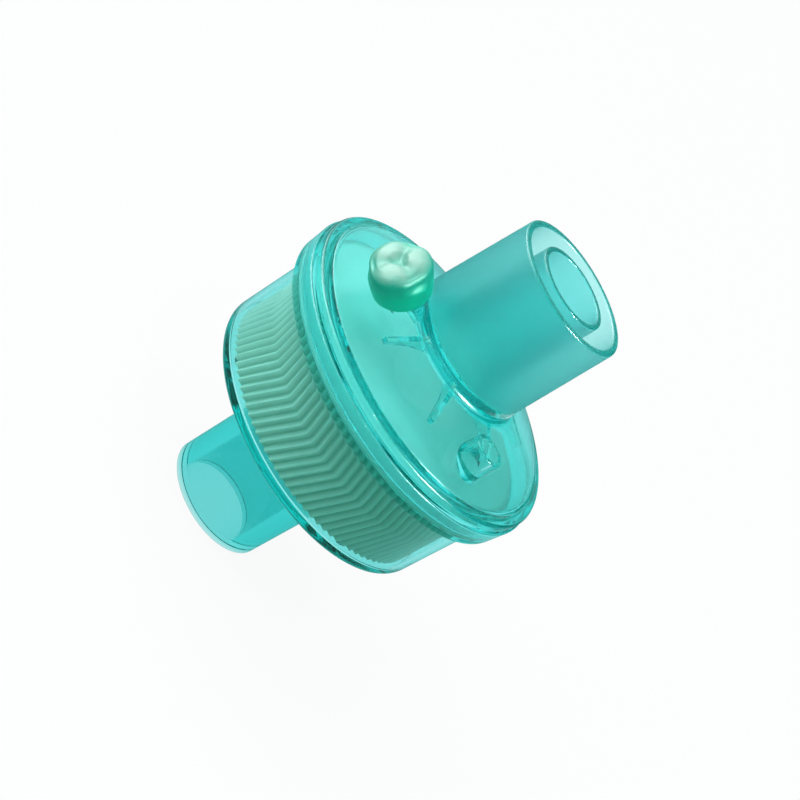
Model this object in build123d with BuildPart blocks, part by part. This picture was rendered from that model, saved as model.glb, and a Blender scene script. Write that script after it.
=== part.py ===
# Breathing circuit filter: a clear two-part housing with conical ports, holding a heat and
# moisture exchange roll and a flat filter pad, with a push-on cap on its gas sampling port.
#
# Frame: millimetres, +Z along the gas path from the patient port up to the circuit port.
# The origin is the centre of the patient port's end face, which the filter stands on.
# Azimuth 0 is +X. The sampling port leans out over it, with the cap's parking post to its left.
from build123d import *
from math import cos, degrees, radians, sin, tan
import os

# Conical ports: they taper by 1 mm of diameter in 40 mm of length
CONE_TAPER = 1 / 40 / 2
PATIENT_PORT_MOUTH_R = 11.0  # 22 mm male cone, at its small end
PATIENT_PORT_LENGTH = 24.0
PATIENT_BORE_MOUTH_R = 7.7  # 15 mm female cone, at its open end
PATIENT_BORE_CONE_LENGTH = 17.0
CIRCUIT_SOCKET_MOUTH_R = 11.25  # 22 mm female cone, at its open end
CIRCUIT_SOCKET_WALL = 1.35
CIRCUIT_SOCKET_DEPTH = 20.5
CIRCUIT_PORT_HEIGHT = 21.5  # from its root to its mouth
INNER_TUBE_MOUTH_R = 7.7  # 15 mm male cone inside the socket, flush with its mouth
INNER_TUBE_BORE_R = 6.7
MOUTH_BEVEL = 0.3

# Patient housing: a cup with a collar that the circuit housing is welded into
CUP_BOTTOM_R = 26.55
CUP_DRAFT = 0.35  # the cup widens by this towards the collar
CUP_WALL = 0.9
CUP_END_WALL = 1.5
CUP_HEIGHT = 22.4  # from the end wall's outer face to the collar's top
CUP_EDGE_ROUND = 1.3
CUP_THROAT_BEVEL = 0.8
PORT_ROOT_BEVEL = 0.8
COLLAR_STEP = 2.3  # outside the cup
COLLAR_DRAFT = 0.5
COLLAR_WALL = 1.8  # at the collar's top
COLLAR_HEIGHT = 4.6
COLLAR_BEVEL = 0.3
COLLAR_BORE_DEPTH = 3.6  # down to the ledge that carries the filter pad
SHOULDER_HEIGHT = 1.1
REST_RIB_COUNT = 8
REST_RIB_HEIGHT = 0.8
REST_RIB_ROOT = 0.5  # sunk in the end wall, to join it
REST_RIB_WIDTH = 1.2
REST_RIB_INNER_R = 9.5
REST_RIB_SETBACK = 0.95  # inside the roll's edge

# Circuit housing: a shallow conical lid with a flat rim, a skirt and a port of two tubes
LID_WALL = 1.5
LID_SLOPE = 22.0  # degrees from level
LID_RIM_SETBACK = 0.45  # inside the collar's top
LID_RIM_WIDTH = 1.8
LID_RIM_THICKNESS = 1.75
LID_RIM_ROUND = 0.55
LID_RIM_BEVEL = 0.3
RIM_STEP = 0.6  # from the flat rim up to the edge of the cone
ROOT_RING_R = 14.3
ROOT_RING_RISE = 0.8
PORT_ROOT_R = 13.0
SKIRT_CLEARANCE = 0.05
SKIRT_WALL = 1.3
PARTING_GAP = 0.3  # the open groove between the collar and the rim
LID_WEB_COUNT = 8
LID_WEB_FIRST_AZIMUTH = 22.5
LID_WEB_WIDTH = 0.9
LID_WEB_ROOT = 0.6  # sunk in the lid, to join it
LID_WEB_INNER_R = 9.0
LID_WEB_FOOT_R = 13.4
LID_WEB_OUTER_R = 19.0
LID_WEB_DEPTH = 1.8  # below the lid, at the web's foot
LID_WEB_TAIL = 0.9  # below the lid, at the web's outer end

# Sampling port: a tapered spigot that leans out over the lid, and its cap
SPIGOT_TILT = 56.5  # degrees from the gas path
SPIGOT_SETBACK = 1.1  # from the root ring out to where its axis leaves the lid
SPIGOT_BASE_R = 3.3
SPIGOT_TIP_R = 3.1
SPIGOT_LENGTH = 8.6  # along its axis, from the lid
SPIGOT_ROOT = 2.5  # sunk in the lid, to join it
SPIGOT_BORE_R = 2.1
SPIGOT_BORE_REACH = 4.0  # past the lid's outer face
CAP_GAP = 3.0  # from the lid to the cap's mouth, along the axis
CAP_LENGTH = 8.0
CAP_SKIRT_R = 5.1
CAP_HEAD_R = 5.45
CAP_SKIRT_BEVEL = 1.3
CAP_TOP_ROUND = 1.2
CAP_CLEARANCE = 0.05  # round the spigot
CAP_ROOF_GAP = 0.1  # over the spigot's tip
CAP_STEM_R = 1.9  # the stem that stops the spigot's bore
CAP_STEM_LENGTH = 1.8
CAP_HOLLOW_COUNT = 3
CAP_HOLLOW_R = 1.6
CAP_HOLLOW_DEPTH = 0.7
CAP_HOLLOW_LENGTH = 3.2
CAP_DIMPLE_R = 1.7
CAP_DIMPLE_DEPTH = 0.6

# Parking post: a short hollow post that holds the cap while gas is sampled
POST_AZIMUTH = 94.5
POST_SETBACK = 6.9  # from the root ring out to its axis
POST_BASE_R = 3.3
POST_TIP_R = 3.05
POST_BORE_R = 2.15
POST_HEIGHT = 4.2
POST_ROOT = 1.5  # sunk in the lid, to join it
POST_BORE_FLOOR = 0.2  # above the lid, on the post's axis

# Exchange roll: creased paper wound round itself, with arrowhead creases
ROLL_CLEARANCE = 0.7  # inside the cup's foot
ROLL_HEAD_GAP = 0.1  # under the filter pad
CREASE_COUNT = 96
CREASE_DEPTH = 0.6
CREASE_LEAN = 19.0  # degrees from the gas path
CORE_R = 1.6
TURN_PITCH = 2.1
TURN_GAP = 0.28
TURN_FLATS = 20  # the creased strip lies in short flats round each turn
OUTER_TURN = 1.5  # solid paper outside the wound gap

# Filter pad: a felt disc, pinched thin at its edge
PAD_CLEARANCE = 0.15  # inside the collar
PAD_THICKNESS = 2.4
PAD_PINCH_CLEARANCE = 0.25  # inside the lid's skirt
PAD_PINCH_THICKNESS = 0.9
PAD_SLOPE_WIDTH = 1.2

# Radii that follow from the cup's, outwards to the collar and inwards to the roll
CUP_TOP_R = CUP_BOTTOM_R + CUP_DRAFT
COLLAR_BOTTOM_R = CUP_TOP_R + COLLAR_STEP
COLLAR_TOP_R = COLLAR_BOTTOM_R + COLLAR_DRAFT
COLLAR_BORE_R = COLLAR_TOP_R - COLLAR_WALL
LID_RIM_R = COLLAR_TOP_R - LID_RIM_SETBACK
LID_CONE_R = LID_RIM_R - LID_RIM_WIDTH
SKIRT_R = COLLAR_BORE_R - SKIRT_CLEARANCE
SKIRT_BORE_R = SKIRT_R - SKIRT_WALL
PAD_R = COLLAR_BORE_R - PAD_CLEARANCE
PAD_PINCH_R = SKIRT_BORE_R - PAD_PINCH_CLEARANCE
ROLL_R = CUP_BOTTOM_R - CUP_WALL - ROLL_CLEARANCE
REST_RIB_OUTER_R = ROLL_R - REST_RIB_SETBACK
SPIGOT_AXIS_R = ROOT_RING_R + SPIGOT_SETBACK
POST_AXIS_R = ROOT_RING_R + POST_SETBACK

# Heights up the gas path
CUP_BOTTOM = PATIENT_PORT_LENGTH
CUP_FLOOR = CUP_BOTTOM + CUP_END_WALL
COLLAR_TOP = CUP_BOTTOM + CUP_HEIGHT
COLLAR_BOTTOM = COLLAR_TOP - COLLAR_HEIGHT
PAD_BOTTOM = COLLAR_TOP - COLLAR_BORE_DEPTH
PAD_EDGE_TOP = PAD_BOTTOM + PAD_PINCH_THICKNESS
PAD_TOP = PAD_BOTTOM + PAD_THICKNESS
ROLL_BOTTOM = CUP_FLOOR + REST_RIB_HEIGHT
ROLL_TOP = PAD_BOTTOM - ROLL_HEAD_GAP
ROLL_HEIGHT = ROLL_TOP - ROLL_BOTTOM
RIM_BOTTOM = COLLAR_TOP + PARTING_GAP
RIM_TOP = RIM_BOTTOM + LID_RIM_THICKNESS
CONE_EDGE = RIM_TOP + RIM_STEP
LID_DROP = tan(radians(LID_SLOPE))
ROOT_RING = CONE_EDGE + (LID_CONE_R - ROOT_RING_R) * LID_DROP
PORT_ROOT = ROOT_RING + ROOT_RING_RISE
PORT_MOUTH = PORT_ROOT + CIRCUIT_PORT_HEIGHT
SOCKET_FLOOR = PORT_MOUTH - CIRCUIT_SOCKET_DEPTH
THROAT = SOCKET_FLOOR - LID_WALL

# Radii that follow from the ports' tapers
PATIENT_PORT_ROOT_R = PATIENT_PORT_MOUTH_R + CONE_TAPER * PATIENT_PORT_LENGTH
PATIENT_BORE_INNER_R = PATIENT_BORE_MOUTH_R - CONE_TAPER * PATIENT_BORE_CONE_LENGTH
CIRCUIT_PORT_MOUTH_R = CIRCUIT_SOCKET_MOUTH_R + CIRCUIT_SOCKET_WALL
SOCKET_FLOOR_R = CIRCUIT_SOCKET_MOUTH_R - CONE_TAPER * CIRCUIT_SOCKET_DEPTH
INNER_TUBE_ROOT_R = INNER_TUBE_MOUTH_R + CONE_TAPER * CIRCUIT_SOCKET_DEPTH


def lid_top(radius):
    """Height of the lid's conical outer face at a distance from the gas path."""
    return CONE_EDGE + (LID_CONE_R - radius) * LID_DROP


def lid_underside(radius):
    """Height of the lid's conical inner face at a distance from the gas path."""
    return lid_top(radius) - LID_WALL / cos(radians(LID_SLOPE))


def spigot_radius(distance):
    """Outside radius of the sampling spigot at a distance along it from the lid."""
    share = (distance + SPIGOT_ROOT) / (SPIGOT_LENGTH + SPIGOT_ROOT)
    return SPIGOT_BASE_R + (SPIGOT_TIP_R - SPIGOT_BASE_R) * share


def polar(radius, azimuth, height=0):
    """A point given by its distance from the gas path, its azimuth in degrees and its height."""
    return Vector(radius * cos(radians(azimuth)), radius * sin(radians(azimuth)), height)


def radial_plane(azimuth):
    """The upright plane through the gas path at an azimuth, with x outwards and y upwards."""
    return Plane(origin=(0, 0, 0), x_dir=polar(1, azimuth), z_dir=polar(1, azimuth - 90))


def rings_at(part, height):
    """The circular edges of a part at one height, from the smallest to the largest."""
    rings = part.edges().filter_by(GeomType.CIRCLE)
    return rings.filter_by_position(Axis.Z, height, height).sort_by(SortBy.RADIUS)


# Places of what stands on the lid
spigot_direction = polar(sin(radians(SPIGOT_TILT)), 0, cos(radians(SPIGOT_TILT)))
spigot_base = polar(SPIGOT_AXIS_R, 0, lid_top(SPIGOT_AXIS_R))
spigot_plane = Plane(origin=spigot_base, x_dir=(0, 1, 0), z_dir=spigot_direction)
spigot_axis = Axis(spigot_base, spigot_direction)
post_base = polar(POST_AXIS_R, POST_AZIMUTH, lid_top(POST_AXIS_R))

# Patient housing: the port, the end wall, the cup and the collar turned as one section
with BuildPart() as patient_housing:
    with BuildSketch(Plane.XZ):
        with BuildLine():
            Polyline(
                (PATIENT_BORE_MOUTH_R, 0),
                (PATIENT_PORT_MOUTH_R, 0),
                (PATIENT_PORT_ROOT_R, CUP_BOTTOM),
                (CUP_BOTTOM_R, CUP_BOTTOM),
                (CUP_TOP_R, COLLAR_BOTTOM - SHOULDER_HEIGHT),
                (COLLAR_BOTTOM_R, COLLAR_BOTTOM),
                (COLLAR_TOP_R, COLLAR_TOP),
                (COLLAR_BORE_R, COLLAR_TOP),
                (COLLAR_BORE_R, PAD_BOTTOM),
                (CUP_TOP_R - CUP_WALL, PAD_BOTTOM),
                (CUP_BOTTOM_R - CUP_WALL, CUP_FLOOR),
                (PATIENT_BORE_INNER_R, CUP_FLOOR),
                (PATIENT_BORE_INNER_R, PATIENT_BORE_CONE_LENGTH),
                close=True,
            )
        make_face()
    revolve(axis=Axis.Z)
    fillet(rings_at(patient_housing, CUP_BOTTOM)[-1], CUP_EDGE_ROUND)
    chamfer(rings_at(patient_housing, CUP_BOTTOM)[0], PORT_ROOT_BEVEL)
    chamfer(rings_at(patient_housing, CUP_FLOOR)[0], CUP_THROAT_BEVEL)
    chamfer(rings_at(patient_housing, COLLAR_TOP)[-1], COLLAR_BEVEL)
    chamfer(rings_at(patient_housing, 0), MOUTH_BEVEL)
    # the ribs that hold the roll off the end wall, so that gas spreads under all of it
    with BuildSketch(Plane.XY.offset(CUP_FLOOR - REST_RIB_ROOT)):
        with PolarLocations((REST_RIB_INNER_R + REST_RIB_OUTER_R) / 2, REST_RIB_COUNT):
            Rectangle(REST_RIB_OUTER_R - REST_RIB_INNER_R, REST_RIB_WIDTH)
    extrude(amount=REST_RIB_HEIGHT + REST_RIB_ROOT)
patient_housing.part.label = "patient_housing"

# Circuit housing: outer form first, then its hollows, its bores and the webs under the lid
with BuildPart() as circuit_housing:
    with BuildSketch(Plane.XZ):
        with BuildLine():
            Polyline(
                (0, PORT_MOUTH),
                (CIRCUIT_PORT_MOUTH_R, PORT_MOUTH),
                (PORT_ROOT_R, PORT_ROOT),
                (ROOT_RING_R, ROOT_RING),
                (LID_CONE_R, CONE_EDGE),
                (LID_CONE_R, RIM_TOP),
                (LID_RIM_R, RIM_TOP),
                (LID_RIM_R, RIM_BOTTOM),
                (SKIRT_R, RIM_BOTTOM),
                (SKIRT_R, PAD_EDGE_TOP),
                (0, PAD_EDGE_TOP),
                close=True,
            )
        make_face()
    revolve(axis=Axis.Z)
    fillet(rings_at(circuit_housing, RIM_TOP)[-1], LID_RIM_ROUND)
    chamfer(rings_at(circuit_housing, RIM_BOTTOM)[-1], LID_RIM_BEVEL)
    # the sampling spigot and the parking post
    with Locations(spigot_plane.location * Pos(0, 0, -SPIGOT_ROOT)):
        Cone(
            SPIGOT_BASE_R,
            SPIGOT_TIP_R,
            SPIGOT_LENGTH + SPIGOT_ROOT,
            align=(Align.CENTER, Align.CENTER, Align.MIN),
        )
    with Locations(post_base - Vector(0, 0, POST_ROOT)):
        Cone(POST_BASE_R, POST_TIP_R, POST_HEIGHT + POST_ROOT, align=(Align.CENTER, Align.CENTER, Align.MIN))
    # the space under the lid, and the inner tube's bore
    with BuildSketch(Plane.XZ):
        with BuildLine():
            Polyline(
                (0, PORT_MOUTH),
                (INNER_TUBE_BORE_R, PORT_MOUTH),
                (INNER_TUBE_BORE_R, THROAT),
                (PORT_ROOT_R, lid_underside(PORT_ROOT_R)),
                (SKIRT_BORE_R, lid_underside(SKIRT_BORE_R)),
                (SKIRT_BORE_R, PAD_EDGE_TOP),
                (0, PAD_EDGE_TOP),
                close=True,
            )
        make_face()
    revolve(axis=Axis.Z, mode=Mode.SUBTRACT)
    # the ring-shaped socket round the inner tube
    with BuildSketch(Plane.XZ):
        with BuildLine():
            Polyline(
                (INNER_TUBE_MOUTH_R, PORT_MOUTH),
                (CIRCUIT_SOCKET_MOUTH_R, PORT_MOUTH),
                (SOCKET_FLOOR_R, SOCKET_FLOOR),
                (INNER_TUBE_ROOT_R, SOCKET_FLOOR),
                close=True,
            )
        make_face()
    revolve(axis=Axis.Z, mode=Mode.SUBTRACT)
    chamfer(rings_at(circuit_housing, PORT_MOUTH), MOUTH_BEVEL)
    # the spigot's bore opens under the lid, and the post's is blind
    with Locations(spigot_plane.location * Pos(0, 0, -SPIGOT_BORE_REACH)):
        Cylinder(
            SPIGOT_BORE_R,
            SPIGOT_BORE_REACH + SPIGOT_LENGTH,
            align=(Align.CENTER, Align.CENTER, Align.MIN),
            mode=Mode.SUBTRACT,
        )
    with Locations(post_base + Vector(0, 0, POST_BORE_FLOOR)):
        Cylinder(
            POST_BORE_R,
            POST_HEIGHT - POST_BORE_FLOOR,
            align=(Align.CENTER, Align.CENTER, Align.MIN),
            mode=Mode.SUBTRACT,
        )
    # the webs that stiffen the lid round the port's root
    web_foot = lid_underside(LID_WEB_FOOT_R) - LID_WEB_DEPTH
    for web in range(LID_WEB_COUNT):
        with BuildSketch(radial_plane(LID_WEB_FIRST_AZIMUTH + web * 360 / LID_WEB_COUNT)):
            with BuildLine():
                Polyline(
                    (LID_WEB_INNER_R, THROAT + LID_WEB_ROOT),
                    (LID_WEB_OUTER_R, lid_underside(LID_WEB_OUTER_R) + LID_WEB_ROOT),
                    (LID_WEB_OUTER_R, lid_underside(LID_WEB_OUTER_R) - LID_WEB_TAIL),
                    (LID_WEB_FOOT_R, web_foot),
                    (LID_WEB_INNER_R, web_foot),
                    close=True,
                )
            make_face()
        extrude(amount=LID_WEB_WIDTH / 2, both=True)
circuit_housing.part.label = "circuit_housing"

# Exchange roll: arrowhead creases round its outside, and the gap between its wound turns
crease_twist = degrees(tan(radians(CREASE_LEAN)) * ROLL_HEIGHT / 2 / ROLL_R)
valley_r = ROLL_R - CREASE_DEPTH
crease_step = 360 / CREASE_COUNT
crease_corners = []
for crease in range(CREASE_COUNT):
    crease_corners.append(polar(ROLL_R, crease * crease_step))
    crease_corners.append(polar(valley_r, (crease + 0.5) * crease_step))

wound_turns = (valley_r - OUTER_TURN - CORE_R) / TURN_PITCH
wound_corners = int(wound_turns * TURN_FLATS)
gap_line = []
for corner in range(wound_corners + 1):
    gap_line.append((CORE_R + TURN_PITCH * corner / TURN_FLATS, corner * 360 / TURN_FLATS))
gap_outline = [polar(radius, azimuth) for radius, azimuth in gap_line]
gap_outline += [polar(radius + TURN_GAP, azimuth) for radius, azimuth in reversed(gap_line)]

with BuildPart() as hme_roll:
    for height, twist in ((ROLL_BOTTOM, 0), (ROLL_BOTTOM + ROLL_HEIGHT / 2, crease_twist), (ROLL_TOP, 0)):
        with BuildSketch(Plane.XY.offset(height).rotated((0, 0, twist))):
            with BuildLine():
                Polyline(*crease_corners, close=True)
            make_face()
    loft(ruled=True)
    with BuildSketch(Plane.XY.offset(ROLL_BOTTOM)):
        with BuildLine():
            Polyline(*gap_outline, close=True)
        make_face()
    extrude(amount=ROLL_HEIGHT, mode=Mode.SUBTRACT)
hme_roll.part.label = "hme_roll"

# Filter pad: pinched between the cup's ledge and the lid's skirt
with BuildPart() as filter_pad:
    with BuildSketch(Plane.XZ):
        with BuildLine():
            Polyline(
                (0, PAD_BOTTOM),
                (PAD_R, PAD_BOTTOM),
                (PAD_R, PAD_EDGE_TOP),
                (PAD_PINCH_R, PAD_EDGE_TOP),
                (PAD_PINCH_R - PAD_SLOPE_WIDTH, PAD_TOP),
                (0, PAD_TOP),
                close=True,
            )
        make_face()
    revolve(axis=Axis.Z)
filter_pad.part.label = "filter_pad"

# Sampling port cap: a soft cap with three finger hollows, a stem for the bore and a rounded skirt
with BuildPart(spigot_plane) as luer_cap:
    with Locations((0, 0, CAP_GAP)):
        Cone(CAP_SKIRT_R, CAP_HEAD_R, CAP_LENGTH, align=(Align.CENTER, Align.CENTER, Align.MIN))
    cap_rings = luer_cap.edges().filter_by(GeomType.CIRCLE).sort_by(spigot_axis)
    chamfer(cap_rings[0], CAP_SKIRT_BEVEL)
    fillet(cap_rings[-1], CAP_TOP_ROUND)
    with Locations((0, 0, CAP_GAP + CAP_LENGTH - CAP_HOLLOW_LENGTH)):
        with PolarLocations(CAP_HEAD_R - CAP_HOLLOW_DEPTH + CAP_HOLLOW_R, CAP_HOLLOW_COUNT):
            Cylinder(
                CAP_HOLLOW_R,
                CAP_HOLLOW_LENGTH,
                align=(Align.CENTER, Align.CENTER, Align.MIN),
                mode=Mode.SUBTRACT,
            )
    with Locations((0, 0, CAP_GAP + CAP_LENGTH - CAP_DIMPLE_DEPTH)):
        Cone(0, CAP_DIMPLE_R, CAP_DIMPLE_DEPTH, align=(Align.CENTER, Align.CENTER, Align.MIN), mode=Mode.SUBTRACT)
    with Locations((0, 0, CAP_GAP)):
        Cone(
            spigot_radius(CAP_GAP) + CAP_CLEARANCE,
            SPIGOT_TIP_R + CAP_CLEARANCE,
            SPIGOT_LENGTH - CAP_GAP + CAP_ROOF_GAP,
            align=(Align.CENTER, Align.CENTER, Align.MIN),
            mode=Mode.SUBTRACT,
        )
    with Locations((0, 0, SPIGOT_LENGTH + CAP_ROOF_GAP - CAP_STEM_LENGTH)):
        Cylinder(CAP_STEM_R, CAP_STEM_LENGTH, align=(Align.CENTER, Align.CENTER, Align.MIN))
luer_cap.part.label = "luer_cap"

os.makedirs("parts", exist_ok=True)
for piece in (patient_housing, circuit_housing, hme_roll, filter_pad, luer_cap):
    export_step(piece.part, f"parts/{piece.part.label}.step")
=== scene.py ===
# %% [markdown]
# # A breathing circuit filter
# This lesson dresses a small ward filter: a clear aqua housing in two halves, a creased paper
# roll that catches warmth and moisture, a felt pad that catches germs, and a soft cap on the
# gas sampling port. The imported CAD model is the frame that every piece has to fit.

# %% Load the frame
import bmesh
import bpy
from math import cos, pi, radians, sin, tan
from mathutils import Matrix, Vector


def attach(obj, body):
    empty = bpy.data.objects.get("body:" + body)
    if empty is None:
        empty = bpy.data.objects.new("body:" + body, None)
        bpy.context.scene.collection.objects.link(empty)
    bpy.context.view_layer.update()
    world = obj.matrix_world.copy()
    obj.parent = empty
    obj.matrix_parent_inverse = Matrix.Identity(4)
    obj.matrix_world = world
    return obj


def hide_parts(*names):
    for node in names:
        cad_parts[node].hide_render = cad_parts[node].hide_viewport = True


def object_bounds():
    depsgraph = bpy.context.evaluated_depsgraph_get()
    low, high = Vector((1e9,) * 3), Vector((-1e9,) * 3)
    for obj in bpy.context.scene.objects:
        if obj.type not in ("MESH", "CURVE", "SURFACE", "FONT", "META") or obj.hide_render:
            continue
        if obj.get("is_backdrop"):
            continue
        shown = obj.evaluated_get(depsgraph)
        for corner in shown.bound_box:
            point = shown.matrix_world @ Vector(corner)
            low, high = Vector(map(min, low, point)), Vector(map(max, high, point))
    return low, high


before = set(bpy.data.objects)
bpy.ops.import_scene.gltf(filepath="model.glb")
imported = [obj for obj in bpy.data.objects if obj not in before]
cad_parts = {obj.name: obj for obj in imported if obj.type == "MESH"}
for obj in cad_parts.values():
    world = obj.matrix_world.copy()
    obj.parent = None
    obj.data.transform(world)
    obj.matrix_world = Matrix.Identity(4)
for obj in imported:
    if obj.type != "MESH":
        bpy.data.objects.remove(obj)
cad_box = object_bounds()

# %% [markdown]
# The housing is drawn in millimetres, as a mould's drawing would be, and Blender wants metres, so
# each mesh is scaled once, when it is finished. Heights run up the gas path, from the face of the
# patient port. These are the heights and radii that several pieces share.

# %% Shared sizes
MM = 0.001
FULL_TURN = 2 * pi
UP = Vector((0, 0, 1))
END_WALL, CUP_FLOOR, PAD_BOTTOM, COLLAR_TOP = 24.0, 25.5, 42.8, 46.4
ROLL_BOTTOM, ROLL_TOP, ROLL_R = 26.3, 42.7, 24.95
LID_SLOPE = radians(22)
CONE_EDGE, LID_CONE_R, LID_WALL = 49.05, 27.45, 1.5
SKIRT_BOTTOM = 43.7
PORT_MOUTH = 76.663
SPIGOT_TILT, SPIGOT_FOOT_R = radians(56.5), 15.4


def lid_top(radius):
    """Height of the lid's outer face at a distance from the gas path."""
    return CONE_EDGE + (LID_CONE_R - radius) * tan(LID_SLOPE)


def lid_underside(radius):
    """Height of the lid's inner face at a distance from the gas path."""
    return lid_top(radius) - LID_WALL / cos(LID_SLOPE)


spigot_direction = Vector((sin(SPIGOT_TILT), 0, cos(SPIGOT_TILT)))
spigot_base = Vector((SPIGOT_FOOT_R, 0, lid_top(SPIGOT_FOOT_R)))
print("the spigot's axis leaves the lid at", round(spigot_base.z, 2), "mm")

# %% [markdown]
# A product shot like this one is taken with a long lens from a short way off, with the filter
# tipped over in the picture. Here the filter stands on its port and the camera is rolled
# instead, which gives the same view. The three vectors are the camera's right, up and back.

# %% Camera
camera_data = bpy.data.cameras.new("portrait_camera")
camera_data.sensor_width, camera_data.lens = 36, 99
camera_data.clip_start, camera_data.clip_end = 0.01, 20  # metres
camera = bpy.data.objects.new("portrait_camera", camera_data)
bpy.context.scene.collection.objects.link(camera)
view_right = Vector((-0.6187122, 0.079028, 0.7816328))
view_up = Vector((0.4847969, -0.7444944, 0.4590207))
view_back = Vector((0.6181967, 0.6629348, 0.4223153))
camera_place = Vector((227.726, 246.2834, 196.1493)) * MM
camera_turn = Matrix((view_right, view_up, view_back)).transposed().to_4x4()
camera.matrix_world = Matrix.Translation(camera_place) @ camera_turn
bpy.context.scene.camera = camera
print("camera stands", round(camera.location.length, 3), "m from the origin")

# %% [markdown]
# Shader nodes are easier to read as sums. This small class wraps one output of a node, so that
# `1 - mask * 0.5` adds the Math nodes it needs, and its method `node` makes every other node.


# %% Shader sums
class Wire:
    """One output of a node, to be used in sums."""

    def __init__(self, tree, socket=None):
        self.tree, self.socket = tree, socket

    def node(self, kind, settings, inputs, output=0):
        made = self.tree.nodes.new(kind)
        for name, value in settings.items():
            if name == "stops":
                ramp = made.color_ramp.elements
                while len(ramp) < len(value):
                    ramp.new(0.5)
                for stop, (place, colour) in zip(ramp, value):
                    stop.position, stop.color = place, colour
            else:
                setattr(made, name, value)
        for name, value in inputs.items():
            if isinstance(value, Wire):
                self.tree.links.new(value.socket, made.inputs[name])
            else:
                made.inputs[name].default_value = value
        return Wire(self.tree, made.outputs[output])

    def math(self, operation, *values):
        return self.node("ShaderNodeMath", {"operation": operation}, dict(enumerate(values)))

    def __add__(self, other):
        return self.math("ADD", self, other)

    def __sub__(self, other):
        return self.math("SUBTRACT", self, other)

    def __rsub__(self, other):
        return self.math("SUBTRACT", other, self)

    def __mul__(self, other):
        return self.math("MULTIPLY", self, other)

    def __truediv__(self, other):
        return self.math("DIVIDE", self, other)

    def __pow__(self, other):
        return self.math("POWER", self, other)

    def __gt__(self, other):
        return self.math("GREATER_THAN", self, other)

    def __lt__(self, other):
        return self.math("LESS_THAN", self, other)

    __radd__, __rmul__ = __add__, __mul__


def new_finish(name):
    """An empty material, a wire to start its sums from, and its output node."""
    finish = bpy.data.materials.new(name)
    finish.use_nodes = True
    finish.node_tree.nodes.clear()
    out = finish.node_tree.nodes.new("ShaderNodeOutputMaterial")
    return finish, Wire(finish.node_tree), out


def mix_colours(start, amount, first, second):
    """Blends two colours by an amount, which is held between 0 and 1."""
    settings = {"data_type": "RGBA", "clamp_factor": True}
    return start.node("ShaderNodeMix", settings, {0: amount, 6: first, 7: second}, 2)


def dot(start, vector, way):
    """How far a vector reaches along a way."""
    settings = {"operation": "DOT_PRODUCT"}
    return start.node("ShaderNodeVectorMath", settings, {0: vector, 1: way}, "Value")


def light_path(start, kind):
    """What the Light Path node tells about a ray, such as its Ray Depth."""
    return start.node("ShaderNodeLightPath", {}, {}, kind)


def first_mirror(start, steps):
    """1 for a ray that was mirrored by an outer face, before it crossed anything."""
    glossy = light_path(start, "Is Glossy Ray") * (1 - light_path(start, "Is Transmission Ray"))
    return glossy * (light_path(start, "Ray Depth") < steps)


WHITE, BLACK = (1, 1, 1, 1), (0, 0, 0, 1)
print("shader sums are ready")

# %% [markdown]
# ## The studio
# The world is plain white wherever the camera looks, also straight through the clear housing. It
# is darker or brighter only towards a few sides, and a ray's heading says how much of each side
# it meets: 1 where it heads for the side, 0 where it heads away.

# %% World and its sides
world = bpy.data.worlds.new("white_studio")
bpy.context.scene.world = world
world.use_nodes = True
world.node_tree.nodes.clear()
world_out = world.node_tree.nodes.new("ShaderNodeOutputWorld")
sky = Wire(world.node_tree)
heading = sky.node("ShaderNodeTexCoord", {}, {}, "Generated")
KEY_SIDE = (view_up * 0.88 + view_right * 0.12 + view_back * 0.38).normalized()
GLOSS_SIDE = (view_up * 0.86 - view_right * 0.5).normalized()
GLINT_SIDE = (view_right * 0.80 - view_up * 0.35 + view_back * 0.48).normalized()
key, gloss, glint = (dot(sky, heading, side) * 0.5 + 0.5
                     for side in (KEY_SIDE, GLOSS_SIDE, GLINT_SIDE))
print("key side of the studio:", [round(v, 2) for v in KEY_SIDE])

# %% [markdown]
# Matt pieces are lit by a soft key light from above and a weaker one from the other side: the
# paper's creases need a bright side and a dim side, or they vanish. The dyed walls take much of
# that light, and most of its red, so what has crossed them is made up for. The dim side is
# tinted aqua, as it is inside a real housing, where light goes from wall to wall.

# %% Light on matt pieces
KEY_SPREAD, BACK_SPREAD = 8, 3
bounced = light_path(sky, "Diffuse Depth") > 0.5
through = light_path(sky, "Transmission Depth") > 0.5
key_light = key ** KEY_SPREAD * (2.7 + through * 3.5)
back_light = (1 - key) ** BACK_SPREAD * 2.2
soft_light = 0.08 + key_light + back_light
soft_tint = 1.45 - key * 1.6
key_colour = mix_colours(sky, bounced * through, WHITE, (1.8, 1, 0.99, 1))
print("soft light falls from the key side and, weaker, from behind it")

# %% [markdown]
# Clear plastic is drawn by what it mirrors. A broad pale window gives the sheen on the port and
# the lid, a tiny bright one gives sparks on the edges, and all between them is darker and aqua,
# or every edge would melt into the white. Only a ray's first reflection meets this: deeper
# ones, inside the walls, meet the plain white. The world counts one step more than a surface.

# %% Gloss and world light
WORLD_STEPS, SURFACE_STEPS = 2.5, 1.5
GLOSS_SPREAD, GLINT_SPREAD = 7, 90
mirrored = first_mirror(sky, WORLD_STEPS)
gloss_light = 0.35 + gloss ** GLOSS_SPREAD * 8.5 + glint ** GLINT_SPREAD * 60
gloss_tint = mirrored * (1 - gloss ** 2 - glint ** 20)
strength = bounced * soft_light + (1 - bounced) * (1 + mirrored * (gloss_light - 1))
tint = bounced * soft_tint + (1 - bounced) * gloss_tint
sky_colour = mix_colours(sky, tint, key_colour, (0.08, 0.92, 0.72, 1))
world_light = sky.node("ShaderNodeBackground", {}, {"Color": sky_colour, "Strength": strength})
world.node_tree.links.new(world_light.socket, world_out.inputs["Surface"])
print("world:", len(world.node_tree.nodes), "nodes")

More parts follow.
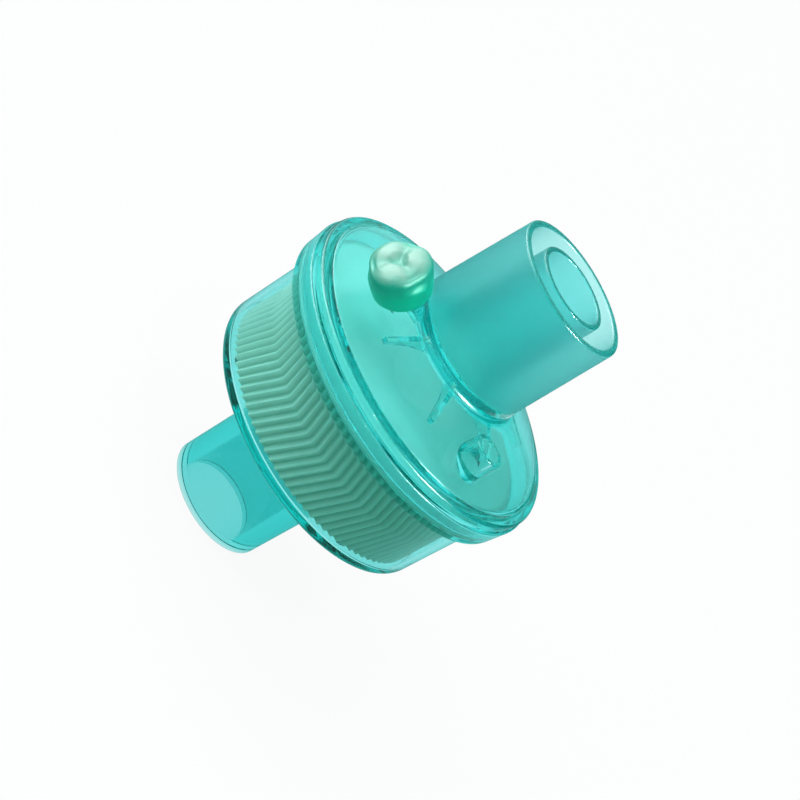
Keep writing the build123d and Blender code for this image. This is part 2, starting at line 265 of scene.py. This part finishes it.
# %% [markdown]
# The floor has to look white without being flooded with light, so it shows plain white to the
# camera and keeps a soft share of its own shading, where the filter's shadow falls. What it
# bounces up at the filter is aqua, like the light that leaves a real one, and it is
# dim in the outer faces' first reflections, which keeps their edges drawn.

# %% Floor
floor_bm = bmesh.new()
bmesh.ops.create_grid(floor_bm, x_segments=1, y_segments=1, size=3)
floor_mesh = bpy.data.meshes.new("studio_floor")
floor_bm.to_mesh(floor_mesh)
floor_bm.free()
floor = bpy.data.objects.new("studio_floor", floor_mesh)
bpy.context.scene.collection.objects.link(floor)
floor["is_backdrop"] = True
print("floor is", floor.dimensions.x, "m wide")

# %% Floor's white
FLOOR_GLOW_SHARE = 0.93
floor_finish, wire, out = new_finish("studio_white")
floor_bounced = light_path(wire, "Diffuse Depth") > 0.5
seen = (light_path(wire, "Is Camera Ray") + light_path(wire, "Is Glossy Ray")
        + light_path(wire, "Is Transmission Ray")) > 0.5
direct = seen * (light_path(wire, "Diffuse Depth") < 0.5)
floor_colour = mix_colours(wire, floor_bounced, (0.86, 0.87, 0.87, 1), (0.05, 0.34, 0.25, 1))
plain = wire.node("ShaderNodeBsdfDiffuse", {}, {"Color": floor_colour})
glow_colour = mix_colours(wire, first_mirror(wire, SURFACE_STEPS), WHITE, (0.12, 0.42, 0.41, 1))
glow = wire.node("ShaderNodeEmission", {}, {"Color": glow_colour, "Strength": 1.0})
shown = wire.node("ShaderNodeMixShader", {}, {0: direct * FLOOR_GLOW_SHARE, 1: plain, 2: glow})
floor_finish.node_tree.links.new(shown.socket, out.inputs["Surface"])
floor_mesh.materials.append(floor_finish)
print("floor finish:", floor_finish.name)

# %% [markdown]
# Two small soft boxes give the clear plastic and the cap their few round glints. They are weak
# against the white world, and their light stops at the clear plastic, so what is inside is
# lit by the world alone.

# %% Soft boxes
AIM = Vector((4, 8, 45)) * MM


def stand_along(place, way):
    """The matrix that stands an upright thing at a place, along a way."""
    return Matrix.Translation(place) @ way.to_track_quat("Z", "Y").to_matrix().to_4x4()


def soft_box(name, from_aim, size, watts):
    """A round area lamp, at a place in metres from the aim and turned towards it."""
    lamp = bpy.data.lights.new(name, "AREA")
    lamp.shape, lamp.size, lamp.energy = "DISK", size, watts
    holder = bpy.data.objects.new(name, lamp)
    bpy.context.scene.collection.objects.link(holder)
    holder.matrix_world = stand_along(AIM + from_aim, from_aim)


soft_box("key_box", view_up * 0.35 - view_right * 0.22 + view_back * 0.35, 0.035, 0.35)
soft_box("glint_box", view_back * 0.4 + view_up * 0.1 + view_right * 0.25, 0.025, 0.25)

# %% [markdown]
# ## Clear aqua plastic
# The housing is moulded from clear plastic with a little dye. The dye tints light by the depth of
# plastic that it crosses, pale through one wall and deep along an edge, which is what Volume
# Absorption does. A tint on the surface does the rest, with painted shade and light in it: the
# same plastic is a little deeper on the patient port, as painted shade, and paler on the circuit
# port, as painted light that makes up for its two tubes lying one behind the other. Object
# coordinates tell these places apart by their height and their distance from the gas path.

# %% Places on the housing
PATIENT_PORT_TOP, CIRCUIT_PORT_ROOT, LIPS = 19.0 * MM, 56.5 * MM, 76.3 * MM
SOCKET_BACK, PORT_INSIDE_R = 57.0 * MM, 13.1 * MM
FADE = 2.5 * MM


def axis_distance(start, place):
    """How far a place lies from the gas path."""
    settings = {"operation": "MULTIPLY"}
    flat_place = start.node("ShaderNodeVectorMath", settings, {0: place, 1: (1, 1, 0)}, "Vector")
    return start.node("ShaderNodeVectorMath", {"operation": "LENGTH"}, {0: flat_place}, "Value")


clear_aqua, wire, out = new_finish("clear_aqua")
here = wire.node("ShaderNodeTexCoord", {}, {}, "Object")
height = dot(wire, here, UP)
port_face = (height > SOCKET_BACK) * (height < LIPS) * (axis_distance(wire, here) < PORT_INSIDE_R)
print("port faces lie", round(PORT_INSIDE_R / MM, 1), "mm or less from the gas path")

# %% [markdown]
# The circuit port's faces are slightly frosted, as a moulded cone is, which hides the floor of
# its socket. Light that is piped along the port's walls comes out at their lips, and a very
# faint emission stands for it, because a render of a few dozen samples would miss it.

# %% Clear aqua plastic
POLISH, FROST = 0.03, 0.35
# painted shade and light: one plastic, tinted deeper on the patient port and paler on the circuit port
aqua_with_painted_shade = mix_colours(wire, (height - PATIENT_PORT_TOP) / FADE,
                       (0.36, 0.74, 0.74, 1), (0.59, 0.94, 0.935, 1))
aqua = mix_colours(wire, (height - CIRCUIT_PORT_ROOT) / FADE, aqua_with_painted_shade, (0.62, 0.97, 0.965, 1))
lip_glow = mix_colours(wire, height > LIPS, BLACK, (0, 0.75, 0.66, 1))
shell = wire.node("ShaderNodeBsdfPrincipled", {}, {
    "Base Color": aqua, "Roughness": POLISH + port_face * FROST, "IOR": 1.5,
    "Transmission Weight": 1.0, "Emission Color": lip_glow, "Emission Strength": 0.04})
dye_inputs = {"Color": (0.04, 0.93, 0.92, 1), "Density": 240.0}
dye = wire.node("ShaderNodeVolumeAbsorption", {}, dye_inputs)
clear_aqua.node_tree.links.new(shell.socket, out.inputs["Surface"])
clear_aqua.node_tree.links.new(dye.socket, out.inputs["Volume"])
print("dyed plastic:", clear_aqua.name)

# %% [markdown]
# ## Turning a section
# Both halves of the housing come from round moulds, so each is one section spun round the gas
# path. A corner may be given a round: the bevel operator rounds a bare corner of the outline
# before it is spun, which is far lighter than bevelling the finished solid. The pad, the cap
# and the cutters for small bores are plain lines spun the same way.


# %% Turned shells
def outline(bm, corners):
    """A closed outline in the XZ plane. Each corner is (radius, height, round) in millimetres."""
    points = [bm.verts.new((radius, 0, height)) for radius, height, _ in corners]
    for first, second in zip(points, points[1:] + points[:1]):
        bm.edges.new((first, second))
    for point, (_, _, round_size) in zip(points, corners):
        if round_size:
            bmesh.ops.bevel(bm, geom=[point], offset=round_size, affect="VERTICES", segments=5,
                            profile=0.5, material=-1, offset_type="OFFSET", clamp_overlap=False)


def split_long(bm, longest):
    """Divides an outline's long edges, so that later cuts meet small faces."""
    for edge in [e for e in bm.edges if e.calc_length() > longest]:
        bmesh.ops.subdivide_edges(bm, edges=[edge], cuts=int(edge.calc_length() / longest))


def spin_round(bm, steps):
    """Spins an outline once round the upright axis into a closed shell."""
    bmesh.ops.spin(bm, geom=bm.verts[:] + bm.edges[:], cent=(0, 0, 0), axis=UP,
                   angle=FULL_TURN, steps=steps, use_merge=True)
    bmesh.ops.remove_doubles(bm, verts=bm.verts[:], dist=1e-4)
    bmesh.ops.recalc_face_normals(bm, faces=bm.faces[:])


def turned(corners, steps=192, longest=3.0):
    """Spins an outline of rounded corners round the gas path."""
    bm = bmesh.new()
    outline(bm, corners)
    split_long(bm, longest)
    spin_round(bm, steps)
    return bm


def turned_line(points, steps, longest):
    """Spins a bare line that starts and ends on the axis. Each point is (radius, height)."""
    bm = bmesh.new()
    line = [bm.verts.new((radius, 0, height)) for radius, height in points]
    for pair in zip(line, line[1:]):
        bm.edges.new(pair)
    if longest:
        split_long(bm, longest)
    spin_round(bm, steps)
    return bm


def to_object(name, bm):
    """Puts a bmesh drawn in millimetres into a new object, in metres."""
    bmesh.ops.scale(bm, vec=(MM, MM, MM), verts=bm.verts[:])
    mesh = bpy.data.meshes.new(name)
    bm.to_mesh(mesh)
    bm.free()
    made = bpy.data.objects.new(name, mesh)
    bpy.context.scene.collection.objects.link(made)
    return made


def keep_modifiers(piece):
    """Makes a piece's modifiers part of its mesh."""
    bpy.context.view_layer.update()
    worked = piece.evaluated_get(bpy.context.evaluated_depsgraph_get())
    mesh = bpy.data.meshes.new_from_object(worked)
    piece.modifiers.clear()
    piece.data = mesh


def cut_or_join(piece, tool, operation):
    """Joins a tool to a piece, or cuts it away, and removes the tool."""
    step = piece.modifiers.new("shape", "BOOLEAN")
    step.operation, step.solver, step.object = operation, "EXACT", tool
    keep_modifiers(piece)
    bpy.data.objects.remove(tool)


def smooth_by_angle(piece, degrees=30):
    """Smooth shading that keeps real corners crisp and flats flat."""
    piece.data.shade_smooth()
    piece.data.set_sharp_from_angle(angle=radians(degrees))
    step = piece.modifiers.new("flats", "WEIGHTED_NORMAL")
    step.keep_sharp = True
    keep_modifiers(piece)


def triangles(piece):
    """How many triangles a piece's mesh makes."""
    piece.data.calc_loop_triangles()
    return len(piece.data.loop_triangles)


print("turning tools are ready")

# %% [markdown]
# ## The patient housing
# This half has the conical port that goes to the patient, a flat end wall, the cup that holds the
# roll, and the collar that the other half is welded into. It is one spun section, listed from the
# port's lip up the outside and down the inside. Each corner is (radius, height, round).

# %% Patient housing
COLLAR_BORE_R, PORT_BORE_R = 27.9, 7.4875
patient_shell = to_object("patient_shell", turned([
    (7.7, 0, 0.3), (11.0, 0, 0.3), (11.3, END_WALL, 0.9), (26.55, END_WALL, 1.3),
    (26.9, 40.7, 0.4), (29.2, 41.8, 0.4), (29.7, COLLAR_TOP, 0.35),
    (COLLAR_BORE_R, COLLAR_TOP, 0.15), (COLLAR_BORE_R, PAD_BOTTOM, 0), (26.0, PAD_BOTTOM, 0.2),
    (25.65, CUP_FLOOR, 0.8), (PORT_BORE_R, CUP_FLOOR, 0.8), (PORT_BORE_R, 17.0, 0),
]))
print("patient shell:", triangles(patient_shell), "triangles")

# %% [markdown]
# Eight low ribs on the end wall hold the roll off it. They are small boxes sunk a little into
# the wall and joined to it, so that no inner face is left where light would catch.


# %% Rest ribs
def spoke(bm, inner, outer, width, bottom, top, azimuth):
    """A box that lies along a radius."""
    middle = Matrix.Translation(((inner + outer) / 2, 0, (bottom + top) / 2))
    size = Matrix.Diagonal((outer - inner, width, top - bottom, 1))
    bmesh.ops.create_cube(bm, size=1, matrix=Matrix.Rotation(azimuth, 4, "Z") @ middle @ size)


RIBS, RIB_INNER, RIB_OUTER, RIB_WIDTH, RIB_SUNK, RIB_HEIGHT = 8, 9.5, 24.0, 1.2, 0.5, 0.78
ribs = bmesh.new()
for rib in range(RIBS):
    spoke(ribs, RIB_INNER, RIB_OUTER, RIB_WIDTH, CUP_FLOOR - RIB_SUNK, CUP_FLOOR + RIB_HEIGHT,
          rib * FULL_TURN / RIBS)
cut_or_join(patient_shell, to_object("ribs", ribs), "UNION")
smooth_by_angle(patient_shell)
patient_shell.data.materials.append(clear_aqua)
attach(patient_shell, "filter")
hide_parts("patient_housing")
print("with ribs:", triangles(patient_shell), "triangles")

# %% [markdown]
# ## The circuit housing
# The other half is a shallow cone with a flat rim and a skirt, and a port made of two tubes, one
# inside the other. The whole of it is one closed outline: over the inner tube's lip, down into
# the socket and up again, down the outer tube, out over the lid to the rim, down the skirt,
# and back along the underside to the bore.

# %% Lid and port
SOCKET_FLOOR, TUBE_BORE_R, PORT_R = 56.163, 6.7, 13.0
RIM_TOP, RIM_BOTTOM, RIM_R = 48.45, 46.7, 29.25
SKIRT_R, SKIRT_BORE_R = 27.85, 26.55
circuit_shell = to_object("circuit_shell", turned([
    (TUBE_BORE_R, PORT_MOUTH, 0.3), (7.7, PORT_MOUTH, 0.3), (7.956, SOCKET_FLOOR, 0.5),
    (10.994, SOCKET_FLOOR, 0.5), (11.25, PORT_MOUTH, 0.4), (12.6, PORT_MOUTH, 0.4),
    (PORT_R, 55.163, 0.6), (14.3, 54.363, 0.5), (LID_CONE_R, CONE_EDGE, 0.2),
    (LID_CONE_R, RIM_TOP, 0), (RIM_R, RIM_TOP, 0.55), (RIM_R, RIM_BOTTOM, 0.3),
    (SKIRT_R, RIM_BOTTOM, 0), (SKIRT_R, SKIRT_BOTTOM, 0.2), (SKIRT_BORE_R, SKIRT_BOTTOM, 0.2),
    (SKIRT_BORE_R, lid_underside(SKIRT_BORE_R), 0.5), (PORT_R, lid_underside(PORT_R), 0.5),
    (TUBE_BORE_R, 54.663, 0.8),
]))
print("lid and port:", triangles(circuit_shell), "triangles")

# %% [markdown]
# The sampling spigot leans out over the lid, and the post that its cap is parked on stands on it.
# Each is a cone whose foot is cut off on a slant inside the lid's wall, then joined to it. Their
# bores are cut afterwards, with a tool that widens at the mouth, so that the lips look rounded.


# %% Spigot and post
ROUND_STEPS = 96
SPIGOT_LENGTH, POST_LENGTH, LIP_ROUND = 8.6, 4.2, 0.25
POST_AZIMUTH, POST_FOOT_R = radians(94.5), 21.2
post_base = Matrix.Rotation(POST_AZIMUTH, 3, "Z") @ Vector((POST_FOOT_R, 0, lid_top(POST_FOOT_R)))


def tapered(bm, place, along, radius_foot, radius_tip, length, sunk, edge):
    """A cone on an axis, from under a surface to its tip, with a rounded tip edge."""
    middle = stand_along(place + along * (length - sunk) / 2, along)
    verts = bmesh.ops.create_cone(bm, cap_ends=True, segments=ROUND_STEPS, radius1=radius_foot,
                                  radius2=radius_tip, depth=length + sunk, matrix=middle)["verts"]
    tip = [v for v in verts if (v.co - place).dot(along) > length - 0.01]
    rim = [e for e in bm.edges if e.verts[0] in tip and e.verts[1] in tip]
    bmesh.ops.bevel(bm, geom=rim, offset=edge, affect="EDGES", segments=4, profile=0.5, material=-1)


def slant_foot(bm, azimuth, depth):
    """Cuts a foot off along the lid's slope, at a depth in its wall, and closes it."""
    normal = Vector((sin(LID_SLOPE), 0, cos(LID_SLOPE)))
    on_wall = Vector((20, 0, lid_top(20))) - normal * depth
    spin = Matrix.Rotation(azimuth, 3, "Z")
    geom = bm.verts[:] + bm.edges[:] + bm.faces[:]
    cut = bmesh.ops.bisect_plane(bm, geom=geom, plane_co=spin @ on_wall, plane_no=spin @ normal,
                                 clear_inner=True)["geom_cut"]
    bmesh.ops.edgeloop_fill(bm, edges=[e for e in cut if isinstance(e, bmesh.types.BMEdge)])


for name, azimuth, place, along, foot_r, tip_r, length, sunk in (
    ("spigot", 0, spigot_base, spigot_direction, 3.3, 3.1, SPIGOT_LENGTH, 2.5),
    ("post", POST_AZIMUTH, post_base, UP, 3.3, 3.05, POST_LENGTH, 1.5),
):
    solid = bmesh.new()
    tapered(solid, place, along, foot_r, tip_r, length, sunk, LIP_ROUND)
    slant_foot(solid, azimuth, depth=0.7)
    bmesh.ops.recalc_face_normals(solid, faces=solid.faces[:])
    cut_or_join(circuit_shell, to_object(name, solid), "UNION")
print("with spigot and post:", triangles(circuit_shell), "triangles")


# %% Bores of the spigot and the post
def bore_tool(place, along, radius, start, end, flare):
    """A closed cutter along an axis: straight, and flared where it leaves the tip."""
    mouth = radius + flare
    bm = turned_line((
        (0, start), (radius, start), (radius, end - flare * 1.5),
        (radius + flare * 0.3, end - flare * 0.5), (mouth, end), (mouth, end + 1), (0, end + 1),
    ), ROUND_STEPS, longest=None)
    bmesh.ops.transform(bm, matrix=stand_along(place, along), verts=bm.verts[:])
    return to_object("bore", bm)


spigot_bore = bore_tool(spigot_base, spigot_direction, 2.1, -4.0, SPIGOT_LENGTH, LIP_ROUND)
cut_or_join(circuit_shell, spigot_bore, "DIFFERENCE")
post_bore = bore_tool(post_base, UP, 2.15, 0.2, POST_LENGTH, LIP_ROUND)
cut_or_join(circuit_shell, post_bore, "DIFFERENCE")
print("with bores:", triangles(circuit_shell), "triangles")

# %% [markdown]
# Under the lid, eight webs run out from the inner tube and stiffen the lid round the port's root.
# Each starts as one flat face in an upright plane and is extruded to its width.

# %% Webs under the lid
WEBS, WEB_WIDTH, WEB_TOP, WEB_INNER, WEB_BEND, WEB_OUTER = 8, 0.9, 55.263, 9.0, 13.4, 19.0
web_foot = lid_underside(WEB_BEND) - 1.8
web_end = lid_underside(WEB_OUTER)
webs = bmesh.new()
for web in range(WEBS):
    corners = ((WEB_INNER, WEB_TOP), (WEB_OUTER, web_end + 0.6), (WEB_OUTER, web_end - 0.9),
               (WEB_BEND, web_foot), (WEB_INNER, web_foot))
    flat = webs.faces.new([webs.verts.new((x, -WEB_WIDTH / 2, z)) for x, z in corners])
    grown = bmesh.ops.extrude_face_region(webs, geom=[flat])["geom"]
    far_side = [v for v in grown if isinstance(v, bmesh.types.BMVert)]
    bmesh.ops.translate(webs, vec=(0, WEB_WIDTH, 0), verts=far_side)
    web_turn = Matrix.Rotation((web + 0.5) * FULL_TURN / WEBS, 3, "Z")
    bmesh.ops.rotate(webs, cent=(0, 0, 0), matrix=web_turn, verts=far_side + flat.verts[:])
bmesh.ops.recalc_face_normals(webs, faces=webs.faces[:])
cut_or_join(circuit_shell, to_object("webs", webs), "UNION")
smooth_by_angle(circuit_shell)
circuit_shell.data.materials.append(clear_aqua)
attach(circuit_shell, "filter")
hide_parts("circuit_housing")
print("circuit shell:", triangles(circuit_shell), "triangles")

# %% [markdown]
# ## The exchange roll
# The roll is a long strip of creased paper wound round itself. Its outer turn shows arrowhead
# creases, each a soft wave. One crease is drawn across, drawn up the roll with a twist that
# turns back at half height, and then repeated round the roll.

# %% Creased outer turn
CREASES, CREASE_DEPTH, CREASE_LEAN, ARROW_ROUND = 96, 0.65, radians(19), 0.0015
ROWS, PARTS = 16, 6
roll_height = ROLL_TOP - ROLL_BOTTOM
crease_bm = bmesh.new()
crease_angle = FULL_TURN / CREASES
across = []
for part in range(PARTS + 1):
    angle = crease_angle * part / PARTS
    radius = ROLL_R - CREASE_DEPTH * (0.5 - 0.5 * cos(FULL_TURN * part / PARTS))
    across.append(crease_bm.verts.new((radius * cos(angle), radius * sin(angle), ROLL_BOTTOM)))
row_edges = [crease_bm.edges.new(pair) for pair in zip(across, across[1:])]
crease_twist = tan(CREASE_LEAN) * roll_height / 2 / ROLL_R


def twist_at(share):
    """How far the creases have turned at a share of the roll's height, with a soft arrow point."""
    from_middle = abs(2 * share - 1)
    return crease_twist * (1 - (from_middle ** 2 + ARROW_ROUND) ** 0.5)


print("a crease turns", round(crease_twist * 180 / pi, 1), "degrees up to half height")

# %% Creases up and round the roll
for row in range(ROWS):
    grown = bmesh.ops.extrude_edge_only(crease_bm, edges=row_edges)["geom"]
    fresh = [v for v in grown if isinstance(v, bmesh.types.BMVert)]
    row_edges = [e for e in grown
                 if isinstance(e, bmesh.types.BMEdge) and all(v in fresh for v in e.verts)]
    bmesh.ops.translate(crease_bm, vec=(0, 0, roll_height / ROWS), verts=fresh)
    row_turn = Matrix.Rotation(twist_at((row + 1) / ROWS) - twist_at(row / ROWS), 3, "Z")
    bmesh.ops.rotate(crease_bm, cent=(0, 0, 0), verts=fresh, matrix=row_turn)
one_crease = crease_bm.verts[:] + crease_bm.edges[:] + crease_bm.faces[:]
bmesh.ops.spin(crease_bm, geom=one_crease, cent=(0, 0, 0), axis=UP,
               angle=FULL_TURN - crease_angle, steps=CREASES - 1, use_duplicate=True)
bmesh.ops.remove_doubles(crease_bm, verts=crease_bm.verts[:], dist=1e-3)
bmesh.ops.recalc_face_normals(crease_bm, faces=crease_bm.faces[:])
creased_turn = to_object("creased_turn", crease_bm)
print("creased turn:", triangles(creased_turn), "triangles")

# %% [markdown]
# Inside the outer turn the strip goes on winding to the middle: a wavy sheet between two turns of
# a flat one, which makes the small open cells that gas flows through. Both sheets follow the
# same spiral, and get their paper thickness from a Solidify modifier. They end short of the
# outer turn, so that no wave shows in the valleys of its creases.


# %% Wound cells
WINDING, FIRST_R, LAST_R = 2.1, 1.6, 22.1


def ribbon(name, wave, cell_width, points_per_cell, short):
    """A sheet on a spiral line, which waves between its turns and ends short of the faces."""
    bm = bmesh.new()
    middle, angle, phase, line = FIRST_R, 0.0, 0, []
    while middle < LAST_R:
        radius = middle + wave * (0.5 - 0.5 * cos(FULL_TURN * phase / points_per_cell))
        place = (radius * cos(angle), radius * sin(angle), ROLL_BOTTOM + short)
        line.append(bm.verts.new(place))
        angle += cell_width / points_per_cell / max(middle, 2.0)
        middle = FIRST_R + WINDING * angle / FULL_TURN
        phase += 1
    edges = [bm.edges.new(pair) for pair in zip(line, line[1:])]
    raised = bmesh.ops.extrude_edge_only(bm, edges=edges)["geom"]
    bmesh.ops.translate(bm, vec=(0, 0, roll_height - 2 * short),
                        verts=[v for v in raised if isinstance(v, bmesh.types.BMVert)])
    return to_object(name, bm)


flat_sheet = ribbon("flat_sheet", wave=0, cell_width=1.2, points_per_cell=1, short=0.1)
wavy_sheet = ribbon("wavy_sheet", wave=1.75, cell_width=2.6, points_per_cell=6, short=0.2)
for sheet, thickness in ((creased_turn, 0.3), (flat_sheet, 0.12), (wavy_sheet, 0.12)):
    wall = sheet.modifiers.new("paper", "SOLIDIFY")
    wall.thickness, wall.offset, wall.use_even_offset = thickness * MM, -1, False
    keep_modifiers(sheet)
print("wound cells:", triangles(flat_sheet) + triangles(wavy_sheet), "triangles")

# %% [markdown]
# The paper is pale and matt, with a faint cloudiness and a fine tooth where fibres lie on it. Shade
# is painted into its colour in the folds of the outer turn: it darkens and greens there, where light
# goes from side to side of a crease. How deep a place lies in a fold is told by its distance from
# the gas path.

# %% Filter paper
FOLDS_FROM_R = 24.0
filter_paper, wire, out = new_finish("filter_paper")
here = wire.node("ShaderNodeTexCoord", {}, {}, "Object")
cloud = wire.node("ShaderNodeTexNoise", {}, {"Vector": here, "Scale": 140.0, "Detail": 3.0})
tooth = wire.node("ShaderNodeTexNoise", {}, {"Vector": here, "Scale": 2600.0, "Detail": 4.0})
pale_paper = mix_colours(wire, cloud, (0.95, 0.92, 0.82, 1), (0.99, 0.97, 0.88, 1))
from_axis = axis_distance(wire, here)
# painted shade: the paper's colour darkens and greens towards the bottom of each fold
painted_fold_shade = (ROLL_R * MM - from_axis) / (CREASE_DEPTH * MM) * (from_axis > FOLDS_FROM_R * MM)
paper_colour_with_painted_shade = mix_colours(wire, painted_fold_shade, pale_paper, (0.42, 0.58, 0.47, 1))
paper_inputs = {"Strength": 0.35, "Distance": 0.1 * MM, "Height": tooth}
paper_tooth = wire.node("ShaderNodeBump", {}, paper_inputs)
paper = wire.node("ShaderNodeBsdfPrincipled", {}, {
    "Base Color": paper_colour_with_painted_shade, "Roughness": 0.85 + cloud * 0.1,
    "Specular IOR Level": 0.25, "Normal": paper_tooth})
filter_paper.node_tree.links.new(paper.socket, out.inputs["Surface"])
print("paper:", filter_paper.name)

# %% Dress the roll
for sheet in (creased_turn, flat_sheet, wavy_sheet):
    sheet.data.materials.append(filter_paper)
    smooth_by_angle(sheet, 60)
    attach(sheet, "filter")
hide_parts("hme_roll")
print("roll:", sum(triangles(s) for s in (creased_turn, flat_sheet, wavy_sheet)), "triangles")

# %% [markdown]
# ## The filter pad
# A disc of felted fibres lies over the roll, pinched thin at its edge between the two halves. Its
# section is spun, its faces are split finely, and a gentle unevenness keeps it from looking turned.

# %% Filter pad
FELT_STEPS, UNEVEN_ABOVE, UNEVEN_BY = 144, 44.5, 0.09
pad_bm = turned_line((
    (0, 42.82), (27.6, 42.82), (27.6, 43.66), (26.35, 43.66), (25.9, 43.9), (25.3, 44.9),
    (24.6, 45.1), (0, 45.16),
), FELT_STEPS, longest=1.2)
for vert in pad_bm.verts:
    if vert.co.z > UNEVEN_ABOVE:
        hills = sin(vert.co.x * 0.7 + 1.3 * sin(vert.co.y * 0.4)) * cos(vert.co.y * 0.6)
        vert.co.z -= UNEVEN_BY * (1 + hills)
felt_disc = to_object("felt_disc", pad_bm)
felt_disc.data.shade_smooth()
print("felt disc:", triangles(felt_disc), "triangles")

# %% [markdown]
# Felt has fibres in every direction, so its colour and its bump come from noise that is pulled
# about: clumps a few millimetres wide, and fibres ten times finer.

# %% Pad felt
pad_felt, wire, out = new_finish("pad_felt")
here = wire.node("ShaderNodeTexCoord", {}, {}, "Object")
clumps, fibres = (
    wire.node("ShaderNodeTexNoise", {}, {"Vector": here, "Scale": scale, "Detail": 5.0,
                                         "Distortion": pulled})
    for scale, pulled in ((320.0, 1.5), (3200.0, 3.0)))
felt_colour = mix_colours(wire, clumps, (0.50, 0.92, 0.86, 1), (0.58, 0.96, 0.92, 1))
felt_height = clumps * 0.4 + fibres * 0.6
felt_inputs = {"Strength": 0.5, "Distance": 0.25 * MM, "Height": felt_height}
felt_bump = wire.node("ShaderNodeBump", {}, felt_inputs)
felt = wire.node("ShaderNodeBsdfPrincipled", {}, {
    "Base Color": felt_colour, "Roughness": 0.95, "Specular IOR Level": 0.15,
    "Sheen Weight": 0.2, "Normal": felt_bump})
pad_felt.node_tree.links.new(felt.socket, out.inputs["Surface"])
felt_disc.data.materials.append(pad_felt)
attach(felt_disc, "filter")
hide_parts("filter_pad")
print("felt:", pad_felt.name)

# %% [markdown]
# ## The cap
# The cap is a soft plug moulded in one piece: a rounded skirt, three finger hollows down its
# head and a dimple on top, with the valleys between running out into the hollows. It is spun
# upright, as (radius, height over the spigot's foot), pressed in by a smooth function of
# each point's place, and only then laid along the spigot.

# %% Cap body
SKIRT_START, CAP_END, CAP_STEPS = 3.0, 11.0, 120
cap_bm = turned_line((
    (0, 8.75), (3.16, 8.75), (3.23, SKIRT_START), (3.75, SKIRT_START), (4.4, 3.2), (4.9, 3.9),
    (5.15, 5.5), (5.4, 8.4), (5.38, 9.0), (5.2, 9.6), (4.85, 10.1), (4.35, 10.5), (3.7, 10.78),
    (2.9, 10.93), (1.7, 10.98), (0, 10.9),
), CAP_STEPS, longest=0.35)
print("cap:", len(cap_bm.verts), "points before it is pressed")


# %% Finger hollows and dimple
HOLLOWS, HOLLOW_DEPTH, VALLEY_DEPTH, DIMPLE_DEPTH = 3, 0.10, 0.5625, 0.8


def soft_step(value, start, end):
    """Rises smoothly from 0 at start to 1 at end."""
    share = min(max((value - start) / (end - start), 0), 1)
    return share * share * (3 - 2 * share)


for vert in cap_bm.verts:
    across_r = Vector(vert.co.xy).length
    angle = Vector(vert.co.xy).angle_signed(Vector((0, -1)), 0) if across_r > 1e-6 else 0
    lobe = (0.5 + 0.5 * cos(HOLLOWS * angle)) ** 2.2
    outside = soft_step(across_r, 3.5, 4.3) * soft_step(vert.co.z, 7.0, 8.6)
    vert.co.xy *= 1 - HOLLOW_DEPTH * lobe * outside
    on_top = soft_step(vert.co.z, 9.8, 10.4)
    valley = lobe * soft_step(across_r, 0.3, 1.5)
    dimple = 1 - soft_step(across_r, 0.3, 1.9)
    vert.co.z -= on_top * (VALLEY_DEPTH * valley + DIMPLE_DEPTH * dimple)
cap_side = Vector((0, 1, 0))
cap_axes = Matrix((cap_side, spigot_direction.cross(cap_side), spigot_direction)).transposed()
cap_place = Matrix.Translation(spigot_base) @ cap_axes.to_4x4()
bmesh.ops.transform(cap_bm, matrix=cap_place, verts=cap_bm.verts[:])
soft_cap = to_object("soft_cap", cap_bm)
soft_cap.data.shade_smooth()
print("cap:", triangles(soft_cap), "triangles")

# %% [markdown]
# Its plastic is milky and waxy, so light goes a little way into it. Light and shade are painted
# into its colour along the cap's own axis: the top is pale as painted light, and the skirt a deep,
# clear green raised in brightness against its shade, with a faint mottle.

# %% Milky cap plastic
cap_milky, wire, out = new_finish("cap_milky")
here = wire.node("ShaderNodeTexCoord", {}, {}, "Object")
mottle = wire.node("ShaderNodeTexNoise", {}, {"Vector": here, "Scale": 420.0, "Detail": 4.0})
cap_start = (spigot_base + spigot_direction * SKIRT_START).dot(spigot_direction) * MM
painted_light_along_cap = (dot(wire, here, spigot_direction) - cap_start) / ((CAP_END - SKIRT_START) * MM)
# painted light: pale top as if lit from above, skirt green brightened to make up for its shade
cap_green_with_painted_light = wire.node("ShaderNodeValToRGB", {"stops": (
    (0.05, (0.006, 0.88, 0.64, 1)), (0.45, (0.008, 0.78, 0.55, 1)),
    (0.80, (0.02, 0.52, 0.39, 1)), (0.99, (0.34, 0.60, 0.51, 1)),
)}, {"Fac": painted_light_along_cap + (mottle - 0.5) * 0.15}, "Color")
cap_inputs = {"Strength": 0.25, "Distance": 0.2 * MM, "Height": mottle}
cap_bump = wire.node("ShaderNodeBump", {}, cap_inputs)
milky = wire.node("ShaderNodeBsdfPrincipled", {}, {
    "Base Color": cap_green_with_painted_light, "Roughness": 0.32 + mottle * 0.15, "Subsurface Weight": 0.35,
    "Subsurface Radius": (0.5, 1.0, 0.8), "Subsurface Scale": 0.0012, "Normal": cap_bump})
cap_milky.node_tree.links.new(milky.socket, out.inputs["Surface"])
soft_cap.data.materials.append(cap_milky)
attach(soft_cap, "cap")
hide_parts("luer_cap")
print("cap finish:", cap_milky.name)

# %% [markdown]
# ## Sizes and light paths
# The dressed filter should stay as large as the CAD model, so both boxes are printed. Light
# crosses many walls here, so the paths through clear plastic may be longer than usual.

# %% Sizes and finish
LONGEST_PATH = 32
scene = bpy.context.scene
scene.view_settings.view_transform = "Standard"
scene.cycles.max_bounces = LONGEST_PATH
scene.cycles.transmission_bounces = scene.cycles.glossy_bounces = LONGEST_PATH
dressed_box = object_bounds()
sizes = {"cad": [list(corner) for corner in cad_box], "dressed": [list(corner) for corner in dressed_box]}
for name, box in sizes.items():
    print(name, "box in mm:", [[round(v / MM, 2) for v in corner] for corner in box])
